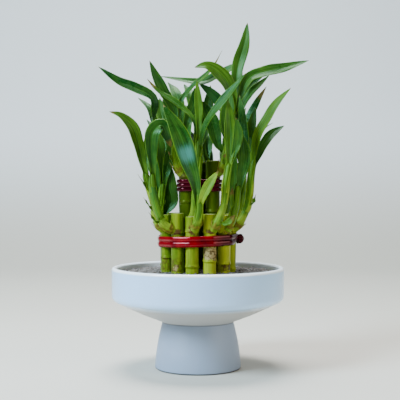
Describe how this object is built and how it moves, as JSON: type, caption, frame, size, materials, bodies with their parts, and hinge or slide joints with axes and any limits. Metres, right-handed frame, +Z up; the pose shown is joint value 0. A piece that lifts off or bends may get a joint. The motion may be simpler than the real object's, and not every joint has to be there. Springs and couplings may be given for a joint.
{
  "type": "lucky bamboo in a footed bowl",
  "caption": "Two-tier bunch of cut lucky bamboo canes with leafy side shoots, tied with red wire and standing in gravel in a round white footed ceramic bowl.",
  "frame": {"origin": "middle of the flat underside of the bowl's foot", "axes": "+Z up along the bowl's axis, -Y towards the front of the plant, +X to the right of someone facing it"},
  "size_m": [0.1935, 0.16, 0.3211],
  "materials": {
    "glaze": "smooth satin white glaze",
    "gravel": "dull rounded pebbles",
    "cane": "waxy green cane with brown sheath scars at the nodes",
    "leaf": null,
    "wire": "glossy red coated wire"
  },
  "bodies": {
    "root": {"bowl": "glaze", "gravel": "gravel", "cane_outer_01": "cane", "cane_outer_02": "cane", "cane_outer_03": "cane", "cane_outer_04": "cane", "cane_outer_05": "cane", "cane_outer_06": "cane", "cane_outer_07": "cane", "cane_outer_08": "cane", "cane_outer_09": "cane", "cane_outer_10": "cane", "cane_outer_11": "cane", "cane_outer_12": "cane", "cane_inner_01": "cane", "cane_inner_02": "cane", "cane_inner_03": "cane", "cane_inner_04": "cane", "cane_inner_05": "cane", "tie_lower": "wire", "tie_upper": "wire", "shoot_outer_01": "leaf", "shoot_outer_02": "leaf", "shoot_outer_03": "leaf", "shoot_outer_04": "leaf", "shoot_outer_05": "leaf", "shoot_outer_06": "leaf", "shoot_outer_07": "leaf", "shoot_outer_08": "leaf", "shoot_outer_09": "leaf", "shoot_outer_10": "leaf", "shoot_outer_11": "leaf", "shoot_outer_12": "leaf", "shoot_inner_low": "leaf", "shoot_inner_01": "leaf", "shoot_inner_02": "leaf", "shoot_inner_03": "leaf", "shoot_inner_04": "leaf", "shoot_inner_05": "leaf"}
  },
  "joints": []
}
